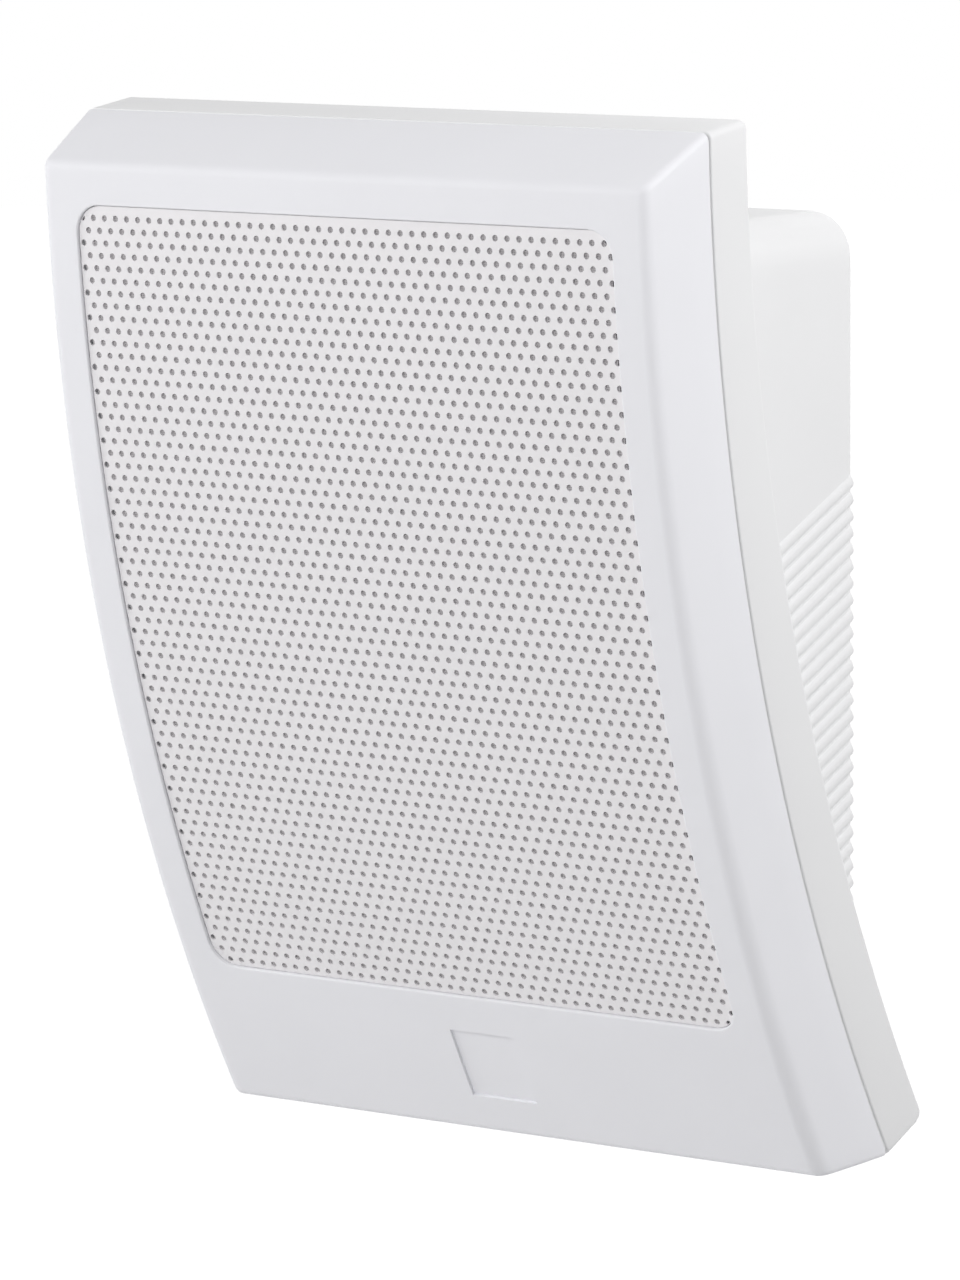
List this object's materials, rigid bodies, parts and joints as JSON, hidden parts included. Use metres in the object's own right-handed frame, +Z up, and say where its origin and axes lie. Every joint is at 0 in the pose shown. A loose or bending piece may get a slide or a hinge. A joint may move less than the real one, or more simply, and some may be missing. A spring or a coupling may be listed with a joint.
{
  "type": "wall speaker",
  "caption": "Wall speaker with a bowed, leaning front, a perforated metal grille, and a ribbed box behind it that lies flat on the wall.",
  "frame": {"origin": "on the wall plane, midway between the round entries of the two keyholes", "axes": "+Z up the wall, -Y out of the front into the room, +X to the right for a person facing the speaker; the wall is the plane y = 0"},
  "size_m": [0.1874, 0.1109, 0.2577],
  "materials": {
    "front_plastic": "satin",
    "shell_plastic": "satin",
    "grille_steel": "satin",
    "cloth": "matt",
    "zinc_steel": "plain",
    "plated_steel": "plain",
    "basket_steel": "satin",
    "core_steel": "matt",
    "ferrite": "matt",
    "foam": "matt",
    "rubber": "matt",
    "cone_paper": "matt",
    "whizzer_paper": "matt",
    "cap_cloth": "matt",
    "former_paper": "matt",
    "copper": "gloss",
    "spider_cloth": "matt",
    "fibre": "matt",
    "bobbin_plastic": "matt",
    "winding_tape": "gloss",
    "terminal_plastic": "matt",
    "brass": "plain",
    "wadding": "matt"
  },
  "bodies": {
    "cabinet": {"front_frame": "front_plastic", "grille": "grille_steel", "grille_cloth": "cloth", "rear_shell": "shell_plastic", "shell_screws": "zinc_steel", "driver_gasket": "foam", "driver_basket": "basket_steel", "driver_screws": "zinc_steel", "surround": "rubber", "spider": "spider_cloth", "top_plate": "plated_steel", "magnet": "ferrite", "yoke": "plated_steel", "tag_strip": "fibre", "transformer_core": "core_steel", "transformer_bobbin": "bobbin_plastic", "transformer_winding": "winding_tape", "transformer_strap": "plated_steel", "transformer_screws": "zinc_steel", "terminal_block": "terminal_plastic", "terminal_clamps": "brass", "terminal_screws": "zinc_steel", "cable_grommet": "rubber", "damping_pad": "wadding"},
    "moving_cone": {"cone": "cone_paper", "whizzer_cone": "whizzer_paper", "dust_cap": "cap_cloth", "coil_former": "former_paper", "coil_winding": "copper"}
  },
  "joints": [
    {"name": "cone_travel", "type": "slide", "parent": "cabinet", "child": "moving_cone", "axis": [0, -0.9676, -0.2523], "range_m": [-0.003, 0.003], "stiffness_N_per_m": 1800, "deforming": ["surround", "spider"]}
  ]
}
